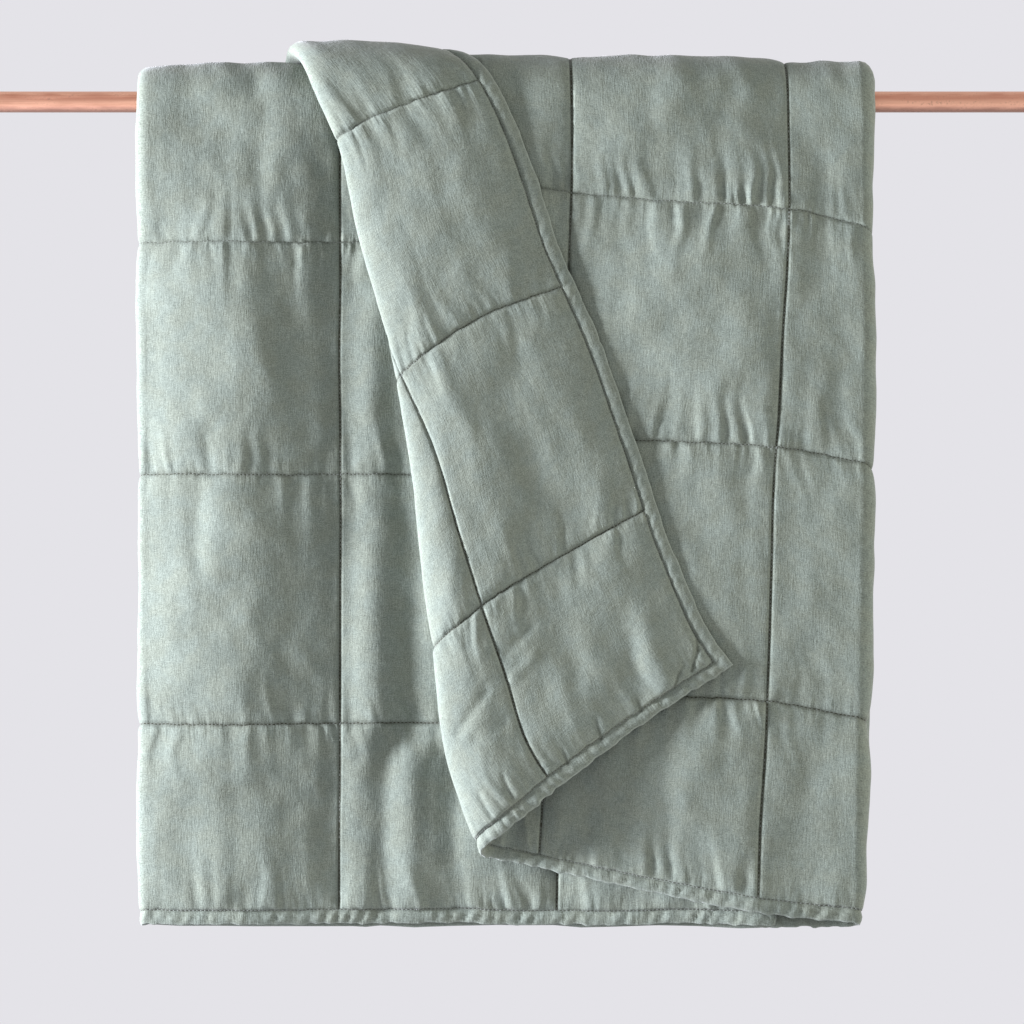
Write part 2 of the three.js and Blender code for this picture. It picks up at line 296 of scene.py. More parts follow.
def turnedLayer(u, v):
    # outer layer, its flap rolled back by a half turn: round below, a long quarter oval above, then settled
    x, drop = outerLayer(u, v)
    height = topHeight - quiltHang["topSag"] * (1 - ease(u - rightTurnEnd, *quiltHang["topSagReach"]))
    along, off = besideFold(x, drop)
    radius = rollRadius(along)
    angle = np.clip(-off / radius, 0, math.pi)
    reach = -off - math.pi * radius
    settled = mix(quiltHang["settleReach"], flapFold["looseReach"], ease(along, -flapFold["looseLength"], 0))
    standing = bell(reach / settled)
    droop = flapFold["edgeDroop"] * ease(u, quiltLength - flapFold["droopReach"], quiltLength)
    newOff = np.where(off >= 0, off, np.where(reach < 0, -radius * np.sin(angle), reach))
    full = mix(quiltHang["layerPitch"], 2 * radius, np.where(reach < 0, 1, standing))
    short = 1 - np.clip((newOff + radius) / flapFold["softReach"], 0, 1)
    upper = radius + (full - radius) * np.sqrt(1 - short * short)
    rise = np.where(angle < math.pi / 2, radius * (1 - np.cos(angle)), upper)
    x, drop = fromFold(along, newOff)
    return x, drop, height + np.where(off >= 0, 0, rise - droop)


def stacked(u, v):
    # place on the flat stack: middle layer, left turn, back layer, right turn, outer layer
    outX, outDrop, outHeight = turnedLayer(np.maximum(u, rightTurnEnd), v)
    turnX, turnDrop = outerLayer(np.full_like(v, rightTurnEnd), v)
    leftAngle = np.clip((u - leftTurnStart) / leftRadius, 0, math.pi)
    rightAngle = np.clip((u - rightTurnStart) / rightRadius, 0, math.pi)
    acrossBack = np.clip((u - leftTurnEnd) / (rightTurnStart - leftTurnEnd), 0, 1)
    onMiddle = u <= leftTurnStart
    onLeft = u < leftTurnEnd
    onBack = u <= rightTurnStart
    onRight = u < rightTurnEnd
    turnOut = quiltHang["rightTurnOut"]
    middleDrop = quiltHang["middleHemDrop"] - v
    backDrop = quiltHang["backHemDrop"] - v
    which = [onMiddle, onLeft, onBack, onRight]
    x = np.select(which, [
        quiltHang["middleEdgeX"] - u,
        quiltHang["leftTurnX"] - leftRadius * np.sin(leftAngle),
        mix(quiltHang["leftTurnX"], turnX + turnOut, acrossBack),
        turnX + turnOut + (rightRadius - turnOut) * np.sin(rightAngle),
    ], outX + turnOut * (1 - ease(u - rightTurnEnd, 0, quiltHang["rightTurnFade"])))
    drop = np.select(which, [
        middleDrop,
        mix(middleDrop, backDrop, leftAngle / math.pi),
        backDrop,
        mix(backDrop, turnDrop, rightAngle / math.pi),
    ], outDrop)
    puff = curveThrough(quiltHang["leftPuffU"], quiltHang["leftPuff"], np.clip(u, 0, leftTurnStart))
    puff = puff * (1 - ease(v, *quiltHang["leftPuffTop"]))
    puff = puff * mix(quiltHang["leftPuffAtHem"], 1, ease(v, *quiltHang["leftPuffHem"]))
    height = np.select(which, [
        middleHeight + puff + handFolds(mainFolds, u, v),
        middleHeight - leftRadius * (1 - np.cos(leftAngle)) + puff * (1 + np.cos(leftAngle)) / 2,
        np.full_like(v, backHeight),
        backHeight + rightRadius * (1 - np.cos(rightAngle)),
    ], outHeight)
    return x, drop, height


def hung(x, drop, height):
    # the stack bent over the rod: straight in front, half round above the axis, straight behind
    lift = quiltHang["lift"]
    ripple = quiltHang["ripple"]
    closeBy, closeFrom, closeTo = quiltHang["closeIn"]
    radius = quiltHang["rodRadius"] + height + lift["height"] * bell((x - lift["x"]) / lift["width"])
    frontArc = np.maximum(radius, topRadius) * math.pi / 2
    over = np.clip(-drop, 0, arcLength)
    quarters = np.where(over < frontArc, over / frontArc, 1 + (over - frontArc) / (arcLength - frontArc))
    angle = quarters * math.pi / 2
    below = np.maximum(np.maximum(drop, -drop - arcLength), 0)
    drawnIn = closeBy * ease(below, closeFrom, closeTo)
    phase = 2 * math.pi * (x + ripple["lean"] * below) / ripple["length"]
    behind = ripple["height"] * np.sin(phase) * ease(below, ripple["from"], ripple["to"])
    lean, leanFrom = quiltHang["swayLean"]
    swayX = quiltHang["swayX"]
    slanted = np.clip(x + lean * (drop - leanFrom), swayX[0], swayX[-1])
    front = -curveThrough(swayX, quiltHang["sway"], slanted) * ease(below, *quiltHang["swayDrop"])
    sway = np.where(drop > 0, front, behind)
    y = -(radius - drawnIn) * np.cos(angle) + sway
    return np.stack([x, y, radius * np.sin(angle) - below], -1)


# Unevenness of washed linen, all in mm
linenRumple = {
    "wander": 1.3,  # how far sewn lines stray
    "wanderLength": 85.0,
    "jag": 0.9,  # how far rows jump from stitch to stitch
    "jagSize": (6.0, 60.0),
    "pleat": 3.1,  # short pleats off the row lines
    "pleatWidth": 4.5,
    "pleatReach": 14.0,
    "pleatHold": 2.5,  # flat this close to a row
    "pleatLean": 0.3,
    "pleatLeanLength": 40.0,
    "pleatUneven": (0.55, 0.7, 38.0),  # mean, spread and length of stronger and weaker stretches
    "gather": 1.8,  # longer pleats behind them
    "gatherWidth": 9.0,
    "gatherReach": 42.0,
    "pleatU": [0, 690, 1500, 1590, 1615, 1900, 1960, 2286],  # stronger beside the flap
    "pleatShare": [0.78, 0.78, 0.66, 0.66, 1.08, 1.08, 0.78, 0.78],
    "columnPucker": 0.9,
    "columnReach": 9.0,
    "ridge": 1.5,  # soft ridges that run down the cloth
    "ridgeWidth": 27.0,
    "ridgeLength": 85.0,
    "lumps": [(2.6, 88.0), (1.2, 41.0), (0.65, 21.0)],  # height and size
    "lumpSkew": 0.3,
    "calmReach": 6.0,  # ridges and lumps die out towards sewn lines
    "bend": 9.0,  # how far ridges and pleats meander
    "bendLength": 47.0,
    "bendFrom": (4, 40),
    "scallop": 1.1,  # how far hems wave in and out
    "scallopSize": (7.5, 300.0),
    "scallopReach": 7.0,
    "pinch": 0.5,  # extra dip right under the stitches
    "pinchWidth": 1.4,
    "otherFace": 400.0,  # shift between the rumples of the two faces
    "pressedCalm": 0.6,
    "flapShare": 0.85,
    "besideFlap": (0.15, 0.3),  # more crumpled right of the flap: everywhere, and low down
    "besideFlapU": (1590, 1620, 1850, 1900),
    "besideFlapV": (190, 230),
}

# Sewn lines that the hang pulls aside: where, how far round it, and by how much along u
lineShifts = [
    {"at": (2057, 575), "reach": (70, 100), "by": -18},
    {"at": (2057, 105), "reach": (90, 65), "by": 7},
]


def nearest(lines, at):
    # number of the nearest line, and how far past it a point is
    away = at[..., None] - np.array(lines)
    number = np.abs(away).argmin(-1)
    return number, np.take_along_axis(away, number[..., None], -1)[..., 0]


def edgeDistance(u, v):
    return np.minimum(np.minimum(u, quiltLength - u), np.minimum(v, quiltWidth - v))


def clothMiddle(u, v):
    # middle of the cloth's thickness, its lines straying a little
    r = linenRumple
    strayU = r["wander"] * hills(u / r["wanderLength"], v / r["wanderLength"], 11)
    for shift in lineShifts:
        du = (u - shift["at"][0]) / shift["reach"][0]
        dv = (v - shift["at"][1]) / shift["reach"][1]
        strayU = strayU + shift["by"] * np.exp(-du * du - dv * dv)
    jagU, jagV = r["jagSize"]
    strayV = r["wander"] * hills(u / r["wanderLength"], v / r["wanderLength"], 12)
    strayV = strayV + r["jag"] * hills(u / jagU, v / jagV, 13)
    short, long = r["scallopSize"]
    waveU = r["scallop"] * hills(v / short, u / long, 14)
    waveV = r["scallop"] * hills(u / short, v / long, 15)

    def nearEnds(at, full):
        return sum(np.exp(-np.maximum(away, 0) / r["scallopReach"]) for away in (at, full - at))

    strayU = strayU + waveU * nearEnds(u, quiltLength)
    strayV = strayV + waveV * nearEnds(v, quiltWidth)
    return hung(*stacked(u + strayU, v + strayV))


def clothNormal(u, v):
    # square to the steps along u and along v
    step = 0.3
    alongU = clothMiddle(u + step, v) - clothMiddle(u - step, v)
    alongV = clothMiddle(u, v + step) - clothMiddle(u, v - step)
    normal = np.cross(alongU, alongV)
    return normal / np.linalg.norm(normal, axis=-1, keepdims=True)


def swell(distance):
    # quarter-round from 0 on a sewn line to 1 at the crown's reach
    left = 1 - np.clip(distance / quiltCut["crownReach"], 0, 1)
    return np.sqrt(1 - left * left)


def rumple(u, v, fromColumn, fromRow, row, pastRow, pleated):
    # pleats that stand off the sewn rows, soft ridges and lumps, from hills of several sizes
    r = linenRumple
    strip = 7.0 * row + 3.0 * (pastRow > 0)  # either side of each row has hills of its own
    bent = u + r["bend"] * hills(u / r["bendLength"], v / r["bendLength"], 20) * ease(fromRow, *r["bendFrom"])
    lean = bent + r["pleatLean"] * pastRow * hills(u / r["pleatLeanLength"], strip, 21)
    mean, spread, length = r["pleatUneven"]
    uneven = mean + spread * hills(u / length, strip, 22)
    hold = fromRow / (fromRow + r["pleatHold"])
    pleats = r["pleat"] * hills(lean / r["pleatWidth"], strip, 23)
    pleats = pleats * np.exp(-fromRow / r["pleatReach"]) * uneven
    gathers = r["gather"] * hills(lean / r["gatherWidth"], strip, 24) * bell(fromRow / r["gatherReach"])
    side = r["columnPucker"] * hills(v / r["pleatWidth"], u / square, 25)
    side = side * np.exp(-fromColumn / r["columnReach"])
    ridges = r["ridge"] * hills(bent / r["ridgeWidth"], v / r["ridgeLength"], 26)
    skew = r["lumpSkew"]
    lumps = sum(height * hills((bent + skew * v) / size, (v - skew * bent) / size, 27 + k)
                for k, (height, size) in enumerate(r["lumps"]))
    calm = np.minimum(fromColumn / (fromColumn + r["calmReach"]), fromRow / (fromRow + r["calmReach"]))
    return (pleats + gathers) * hold * pleated + side + (ridges + lumps) * calm


# How a hem fills out from its edge at 0 to its stitches at 1, and the lumps along it in mm
hemShape = {
    "rise": 0.45,  # full from here on
    "fall": 0.4,  # and thinner again from here on
    "fallBy": 0.8,
    "endRise": 0.55,  # the same for the two hems along v, which slope off to their edge
    "endFall": 0.72,
    "endLumps": 0.4,  # and lie smoother
    "pucker": 2.9,
    "lump": 15.0,  # length of one lump
    "lumpLevel": 0.65,
    "lumpLean": 0.6,
    "stray": 5.0,
    "strayLength": 31.0,
    "uneven": (0.7, 0.6, 20.0),  # mean, spread and length of higher and lower stretches
    "grit": 0.1,
    "gritLength": 6.0,
}


def hemHeight(u, v, fromEdge, side):
    # half a hem's thickness: a bead with lumps, each a half wave along the edge
    h = hemShape
    across = np.clip(fromEdge / hemWidth, 0, 1)
    alongU = np.minimum(v, quiltWidth - v) < hemWidth
    level = np.sqrt(ease(across, 0, h["rise"])) * (1 - h["fallBy"] * ease(across, h["fall"], 1.0))
    sloped = np.sqrt(ease(across, 0, h["endRise"])) * np.sqrt(1 - ease(across, h["endFall"], 1.0))
    full = np.where(alongU, level, sloped)
    bead = mix(quiltCut["edgeThickness"], quiltCut["hemThickness"], full)
    alongEdge = np.where(alongU, u, v)
    strayed = alongEdge + h["stray"] * hills(alongEdge / h["strayLength"], 3.0 + side, 33)
    strayed = strayed + h["lumpLean"] * fromEdge
    lump = np.abs(np.sin(math.pi * strayed / h["lump"])) - h["lumpLevel"]
    mean, spread, length = h["uneven"]
    lump = lump * (mean + spread * hills(alongEdge / length, 9.0 + side, 34))
    lump = lump + h["grit"] * hills(alongEdge / h["gritLength"], 5 + side * 2.0, 31)
    return bead / 2 + h["pucker"] * np.where(alongU, 1, h["endLumps"]) * lump * full


# Where each face shows: u of the middle and outer layers, and the angle round the flap's roll
faceShows = {
    "middleTo": (690, 720),
    "hiddenU": 760,
    "outerFrom": (1470, 1490),
    "frontRollTo": (1.2, 2.4),
    "flapRollFrom": (0.6, 1.8),
}


def faceHeight(u, v, side):
    # half the cloth's thickness towards one face, with the rumples of a face that shows
    r = linenRumple
    roll = rollAngle(u, v)
    fromEdge = edgeDistance(u, v)
    fromColumn = np.abs(nearest(columnSeams, u)[1])
    row, pastRow = nearest(rowSeams, v)
    fromRow = np.abs(pastRow)
    pressed = flapFold["press"] * bell(roll * 2 / math.pi - 1)
    crown = (quiltCut["crownThickness"] - quiltCut["seamThickness"]) * (1 - pressed)
    inner = quiltCut["seamThickness"] + crown * swell(fromColumn) * swell(fromRow)
    pleated = np.interp(u, r["pleatU"], r["pleatShare"])
    detail = rumple(u + r["otherFace"] * side, v, fromColumn, fromRow, row, pastRow, pleated)
    detail = detail * (1 - r["pressedCalm"] * pressed)
    if side > 0:
        shows = ease(roll, *faceShows["flapRollFrom"])
        detail = r["flapShare"] * detail + handFolds(flapCreases, u, v)
    else:
        onOuter = ease(u, *faceShows["outerFrom"]) * (1 - ease(roll, *faceShows["frontRollTo"]))
        shows = np.where(u < faceShows["hiddenU"], 1 - ease(u, *faceShows["middleTo"]), onOuter)
        everywhere, lowDown = r["besideFlap"]
        besideFlap = ease(u, *r["besideFlapU"][:2]) * (1 - ease(u, *r["besideFlapU"][2:]))
        detail = detail * (1 + besideFlap * (everywhere + lowDown * (1 - ease(v, *r["besideFlapV"]))))
    dome = quiltCut["dome"] * np.sin(math.pi * np.clip(u / square % 1, 0, 1))
    pinch = r["pinch"] * bell(np.minimum(fromColumn, fromRow) / r["pinchWidth"])
    rumpled = inner / 2 + (detail + dome - pinch) * shows
    return np.where(fromEdge < hemWidth, hemHeight(u, v, fromEdge, side), rumpled)


# Grid of points on the cloth: closer beside the sewn lines, far apart where nothing shows
gridSpacing = {
    "hem": 6,
    "open": 84,
    "hidden": 12,
    "rows": [48, 54, 54, 60, 36, 36, 30],
    "crowdU": 0.2,
    "crowdV": 0.5,
    "block": 6,  # points on a side of the blocks that are thinned out together
    "frontCell": 6.0,  # cells in mm in which the outermost cloth is looked for
    "backCell": 18.0,
    "underBy": 6.0,  # cloth this far in mm under the outermost counts as hidden
    "edgeOn": 0.35,
}


def crowded(start, stop, count, crowd):
    # lines between two seams, drawn towards both: a straight run less a sine wave
    x = np.arange(1, count + 1) / count
    return start + (stop - start) * (x - crowd * np.sin(2 * math.pi * x) / (2 * math.pi))


def roundHem(start, stop):
    # lines across a hem, closer at its two sides: half a cosine wave
    x = np.arange(1, gridSpacing["hem"] + 1) / gridSpacing["hem"]
    return start + (stop - start) * (1 - np.cos(math.pi * x)) / 2


def gridLines(seams, counts, full, crowd):
    spans = [crowded(a, b, count, crowd) for a, b, count in zip(seams, seams[1:], counts)]
    return np.concatenate([[0.0], roundHem(0, hemWidth), *spans, roundHem(full - hemWidth, full)])


openCount = gridSpacing["open"]
edgeCount = openCount - gridSpacing["hem"]
columnCounts = [edgeCount, *[openCount] * 2, *[gridSpacing["hidden"]] * 3, *[openCount] * 3, edgeCount]
uLines = gridLines(columnSeams, columnCounts, quiltLength, gridSpacing["crowdU"])
vLines = gridLines(rowSeams, gridSpacing["rows"], quiltWidth, gridSpacing["crowdV"])
uGrid, vGrid = np.meshgrid(uLines, vLines, indexing="ij")
middle = clothMiddle(uGrid, vGrid)
normal = clothNormal(uGrid, vGrid)
faces = {side: middle + normal * (side * faceHeight(uGrid, vGrid, side))[..., None] for side in (-1, 1)}
print("cloth worked out at", uGrid.size, "points a face")


def shownSteps():
    # how far apart each face's points are kept: 1 seen from the front, 2 from behind, a block where hidden
    block, edgeOn = gridSpacing["block"], gridSpacing["edgeOn"]
    x, y, z = np.moveaxis(np.stack([faces[-1], faces[1]]), -1, 0)
    facing = np.stack([-normal[..., 1], normal[..., 1]])

    def outermost(depth, cell):
        i = np.floor((x - x.min()) / cell).astype(int)
        j = np.floor((z - z.min()) / cell).astype(int)
        nearestTo = np.full((i.max() + 1, j.max() + 1), np.inf)
        np.minimum.at(nearestTo, (i, j), depth)
        return depth < nearestTo[i, j] + gridSpacing["underBy"]

    inFront = outermost(y, gridSpacing["frontCell"]) & (facing < edgeOn)
    behind = outermost(-y, gridSpacing["backCell"]) & (facing > -edgeOn)
    inHem = edgeDistance(uGrid, vGrid) < hemWidth
    rows, columns = uGrid.shape
    blocks = np.ix_(np.arange(rows) // block, np.arange(columns) // block)
    steps = {}
    for side, front, back in zip((-1, 1), inFront, behind | inHem):
        anyFront, anyBack = np.zeros((2, rows // block + 1, columns // block + 1), bool)
        np.logical_or.at(anyFront, blocks, front)
        np.logical_or.at(anyBack, blocks, back)
        steps[side] = np.where(anyFront, 1, np.where(anyBack, 2, block))[blocks]
    return steps


def clothTriangles():
    # both faces as pairs of triangles, and the rim between them; points of a block are drawn to its first one
    rows, columns = uGrid.shape
    i, j = np.meshgrid(np.arange(rows), np.arange(columns), indexing="ij")
    kept = {side: (i // step * step) * columns + j // step * step for side, step in shownSteps().items()}
    far = rows * columns
    cell = [np.s_[:-1, :-1], np.s_[1:, :-1], np.s_[1:, 1:], np.s_[:-1, 1:]]
    a, b, c, d = [kept[1][corner] + far for corner in cell]
    e, f, g, h = [kept[-1][corner] for corner in cell]
    number = i * columns + j
    loop = np.concatenate([number[:-1, 0], number[-1, :-1], number[:0:-1, -1], number[0, ::-1]])
    start, stop = loop[:-1], loop[1:]
    near = kept[-1].ravel()
    away = kept[1].ravel() + far
    rim = [(away[stop], away[start], near[start]), (away[stop], near[start], near[stop])]
    corners = [(a, b, c), (a, c, d), (e, g, f), (e, h, g), *rim]
    triangles = np.concatenate([np.stack([x.ravel() for x in three], 1) for three in corners])
    return triangles[(triangles != np.roll(triangles, 1, 1)).all(1)]


def meshPiece(name, points, polygons, material, smooth=True):
    mesh = bpy.data.meshes.new(name)
    mesh.from_pydata(points * metre, [], polygons)
    mesh.polygons.foreach_set("use_smooth", np.full(len(mesh.polygons), smooth))
    mesh.materials.append(material)
    mesh.validate()
    mesh.update()
    piece = bpy.data.objects.new(name, mesh)
    bpy.context.scene.collection.objects.link(piece)
    return piece


def perCorner(mesh, values):
    corner = np.zeros(len(mesh.loops), np.int32)
    mesh.loops.foreach_get("vertex_index", corner)
    return values[corner]


class Wire:
    # a value in a finish: each operator adds one Math node
    def __init__(self, finish, socket):
        self.finish = finish
        self.socket = socket

    def calc(self, operation, *values):
        return self.finish.node("ShaderNodeMath", {"operation": operation}, dict(enumerate(values)))

    def __add__(self, other):
        return self.calc("ADD", self, other)

    def __radd__(self, other):
        return self.calc("ADD", other, self)

    def __sub__(self, other):
        return self.calc("SUBTRACT", self, other)

    def __rsub__(self, other):
        return self.calc("SUBTRACT", other, self)

    def __mul__(self, other):
        return self.calc("MULTIPLY", self, other)

    def __rmul__(self, other):
        return self.calc("MULTIPLY", other, self)

    def __truediv__(self, other):
        return self.calc("DIVIDE", self, other)


class Finish:
    # one material's nodes, ending in a Principled shader
    def __init__(self, name, **fixed):
        self.material = bpy.data.materials.new(name)
        self.material.use_nodes = True
        self.tree = self.material.node_tree
        self.shader = next(n for n in self.tree.nodes if n.type == "BSDF_PRINCIPLED")
        for socket, value in fixed.items():
            self.shader.inputs[socket.replace("_", " ")].default_value = value

    def node(self, kind, settings={}, inputs={}, out=0):
        made = self.tree.nodes.new(kind)
        for key, value in settings.items():
            setattr(made, key, value)
        for key, value in inputs.items():
            if isinstance(value, Wire):
                self.tree.links.new(value.socket, made.inputs[key])
            else:
                made.inputs[key].default_value = value
        return Wire(self, made.outputs[out])

    def noise(self, where, scale, detail, stretch=(1, 1, 1)):
        spread = self.node("ShaderNodeMapping", {}, {"Vector": where, "Scale": stretch})
        return self.node("ShaderNodeTexNoise", {}, {"Vector": spread, "Scale": scale, "Detail": detail})

    def between(self, low, high, share):
        ends = [colour if isinstance(colour, Wire) else (*colour, 1) for colour in (low, high)]
        return self.node("ShaderNodeMix", {"data_type": "RGBA"}, {0: share, 6: ends[0], 7: ends[1]}, out=2)

    def ramp(self, value, low, high):
        return self.node("ShaderNodeMapRange", {"interpolation_type": "SMOOTHSTEP"},
                         {"Value": value, "From Min": low, "From Max": high})

    def fromLine(self, where, start, stop):
        # how far a point is from a straight line between two places on the flat cloth, and how far along it
        start, stop = np.array(start) * metre, np.array(stop) * metre
        run = stop - start
        point = self.node("ShaderNodeVectorMath", {"operation": "SUBTRACT"}, {0: where, 1: (*start, 0)})
        share = self.node("ShaderNodeVectorMath", {"operation": "DOT_PRODUCT"},
                          {0: point, 1: (*(run / (run @ run)), 0)}, out="Value")
        share = self.node("ShaderNodeClamp", {}, {"Value": share})
        foot = self.node("ShaderNodeVectorMath", {"operation": "SCALE"}, {0: (*run, 0), "Scale": share})
        away = self.node("ShaderNodeVectorMath", {"operation": "DISTANCE"}, {0: point, 1: foot}, out="Value")
        return away, share

    def feed(self, socket, wire):
        self.tree.links.new(wire.socket, self.shader.inputs[socket])

    def bump(self, height, distance):
        self.feed("Normal", self.node("ShaderNodeBump", {}, {"Height": height, "Distance": distance}))


linenLook = {
    "coolDark": (0.0695, 0.084, 0.068),
    "coolLight": (0.195, 0.229, 0.190),
    "warmDark": (0.0725, 0.084, 0.065),
    "warmLight": (0.200, 0.229, 0.183),
    # colour of the painted shade in sewn lines and creases
    "groove": (0.022, 0.0235, 0.0125),
    # paler colour of worn edges, also used for the painted highlight on hem crinkles
    "wearAndHighlight": (0.211, 0.242, 0.207),
    # how many to the metre
    "thread": 640.0,  # threads that show as streaks
    "slub": 130.0,
    "fleck": 900.0,
    "patch": 120.0,
    "cloud": 17.0,
    "tint": 40.0,  # cooler and warmer stretches
    "uneven": 55.0,  # stretches where sewn lines are darker or paler
    "bunch": 24.0,  # stretches with and without fine pleats
    "pucker": (165.0, 20.0),  # fine pleats, across and down
    "fall": (75.0, 9.0),  # soft streaks, across and down
    "crumple": 48.0,
    "crinkle": 74.0,  # along the hems
    # shares of each in the colour, and what is taken off the sum
    "weave": {"warp": 0.55, "weft": 0.45, "grain": 0.95, "patch": 0.2, "cloud": 0.25, "less": 0.7},
    # how far each stands out, in parts of the depth in metres
    "relief": {"warp": 0.6, "weft": 0.5, "patch": 0.45, "column": 2.4, "row": 0.9, "pucker": 3.2, "fall": 0.9,
               "crumple": 1.7, "crinkle": 2.2},
    "depth": 0.00045,
    # how dark the painted shade along a sewn line is, and from where to where in mm
    "columnShade": (0.92, 0.4, 2.0),
    "rowShade": (0.68, 0.15, 1.2),
    # a wider, fainter painted shade either side of a row
    "besideRowShade": (0.24, 0.3, 5.0),
    "columnBank": (0.1, 3.6),  # from where to where in mm the cloth rises beside a sewn line
    "rowBank": (0.1, 2.2),
    "puckerReach": 24.0,
    "edgeRub": (0.3, 2.5),
    # how far hem crinkle crests are lightened as a painted highlight
    "crinkleHighlight": 0.12,
    # share of the painted shade along a row and beside it: at mid height, less at the top, more low down
    "rowByHeight": (1.25, 0.45, 0.3),
    "besideByHeight": (1, 0.75, 0.2),
    # places and distances on the flat cloth in metres
    "topRow": (0.5, 0.7),
    "lowRow": (0.3, 0.4),
    "flatColumn": 1.6,  # the sewn line that is hardly drawn in
    "flatReach": (0.05, 0.1),
    "creaseReach": (0.0002, 0.0028),
}


def linenFinish():
    look, share, stands = linenLook, linenLook["weave"], linenLook["relief"]
    f = Finish("sageLinen", Roughness=0.92, Sheen_Weight=0.2, Sheen_Roughness=0.45, Specular_IOR_Level=0.2)
    flat = f.node("ShaderNodeUVMap", {"uv_map": "flatCloth"})
    fromColumn, fromRow, fromHem, fromEdge, fromGather = [
        f.node("ShaderNodeAttribute", {"attribute_name": name}, out="Fac")
        for name in ("fromColumn", "fromRow", "fromHem", "fromEdge", "fromGather")
    ]
    warp = f.noise(flat, 1.0, 1.0, (look["thread"], look["slub"], 1))
    weft = f.noise(flat, 1.0, 1.0, (look["slub"], look["thread"], 1))
    grain = f.noise(flat, look["fleck"], 0.0)
    patch = f.noise(flat, look["patch"], 3.0)
    cloud = f.noise(flat, look["cloud"], 4.0)
    weave = warp * share["warp"] + weft * share["weft"] + grain * share["grain"]
    weave = weave + patch * share["patch"] + cloud * share["cloud"] - share["less"]
    tint = f.ramp(f.noise(flat, look["tint"], 3.0), 0.35, 0.65)
    body = f.between(f.between(look["coolDark"], look["coolLight"], weave),
                     f.between(look["warmDark"], look["warmLight"], weave), tint)

    # hems are rubbed paler at the edge, and their crinkle crests are lightened as a painted highlight
    crinkle = f.noise(flat, look["crinkle"], 2.0)
    onHem = 1 - f.ramp(fromEdge, hemWidth - 3, hemWidth - 1)
    wearAndHighlightShare = (1 - f.ramp(fromEdge, *look["edgeRub"])) * (0.2 + 0.5 * weft)
    wearAndHighlightShare = wearAndHighlightShare + onHem * f.ramp(crinkle, 0.5, 0.7) * look["crinkleHighlight"]
    wearAndHighlight = f.between(body, look["wearAndHighlight"], wearAndHighlightShare)

    # painted shade: sewn lines and creases are painted dark, rows more so lower down
    uneven = 0.6 + 0.8 * f.noise(flat, look["uneven"], 1.0)
    column, row, hem, besideRowShade = [
        (1 - f.ramp(away, low, high)) * (most * uneven) for away, (most, low, high) in
        ((fromColumn, look["columnShade"]), (fromRow, look["rowShade"]), (fromHem, look["rowShade"]),
         (fromRow, look["besideRowShade"]))
    ]
    upCloth, alongCloth = [f.node("ShaderNodeSeparateXYZ", {}, {"Vector": flat}, out=axis) for axis in "YX"]
    topRow = f.ramp(upCloth, *look["topRow"])
    lowRow = 1 - f.ramp(upCloth, *look["lowRow"])
    row, besideRowShade = [
        dark * (even - less * topRow + more * lowRow) for dark, (even, less, more) in
        ((row, look["rowByHeight"]), (besideRowShade, look["besideByHeight"]))
    ]
    paintedShade = column
    for dip in (row, besideRowShade, hem):
        paintedShade = paintedShade.calc("MAXIMUM", paintedShade, dip)
    # painted shade along the flap's creases that have a dark share
    for fold in flapCreases:
        if "dark" in fold:
            away, along = f.fromLine(flat, fold["from"], fold["to"])
            creaseShade = (1 - f.ramp(away, *look["creaseReach"])) * (fold["dark"] * (0.2 + 0.8 * along))
            paintedShade = paintedShade.calc("MAXIMUM", paintedShade, creaseShade)
    f.feed("Base Color", f.between(wearAndHighlight, look["groove"], paintedShade))
    f.feed("Roughness", 0.84 + 0.14 * grain)

    # relief: the sum of weave, banks beside sewn lines, fine pleats, streaks and crumples
    fromFlat = alongCloth.calc("ABSOLUTE", alongCloth - look["flatColumn"])
    drawnIn = 0.3 + 0.7 * f.ramp(fromFlat, *look["flatReach"])
    banks = f.ramp(fromColumn, *look["columnBank"]) * stands["column"] * drawnIn
    for away in (fromRow, fromHem):
        banks = banks + f.ramp(away, *look["rowBank"]) * stands["row"]
    near = 1 - f.ramp(fromGather, 0.0, look["puckerReach"])
    bunched = f.ramp(f.noise(flat, look["bunch"], 1.0), 0.3, 0.65)
    pucker = f.noise(flat, 1.0, 1.5, (*look["pucker"], 1)) * near * (stands["pucker"] * bunched)
    fall = f.noise(flat, 1.0, 2.0, (*look["fall"], 1)) * stands["fall"]
    crumple = f.noise(flat, look["crumple"], 3.0) * stands["crumple"]
    threads = warp * stands["warp"] + weft * stands["weft"] + patch * stands["patch"]
    f.bump(threads + banks + pucker + fall + crumple + onHem * crinkle * stands["crinkle"], look["depth"])
    return f.material


threadLook = {"dark": (0.078, 0.090, 0.075), "light": (0.150, 0.170, 0.145), "twist": 900.0, "depth": 0.0002}


def threadFinish():
    f = Finish("linenThread", Roughness=0.75, Sheen_Weight=0.2)
    where = f.node("ShaderNodeTexCoord", out="Object")
    twist = f.noise(where, threadLook["twist"], 1.0)
    f.feed("Base Color", f.between(threadLook["dark"], threadLook["light"], twist))
    f.bump(twist, threadLook["depth"])
    return f.material


# The ninth sewn line is pressed flat where it runs round the flap's fold, so its painted shade and its banks
# are weaker there
pressedLine = {"by": 1.1, "from": (300, 400), "to": (540, 640), "past": 8.5}
farOff = 99  # distance in mm that stands for nowhere near


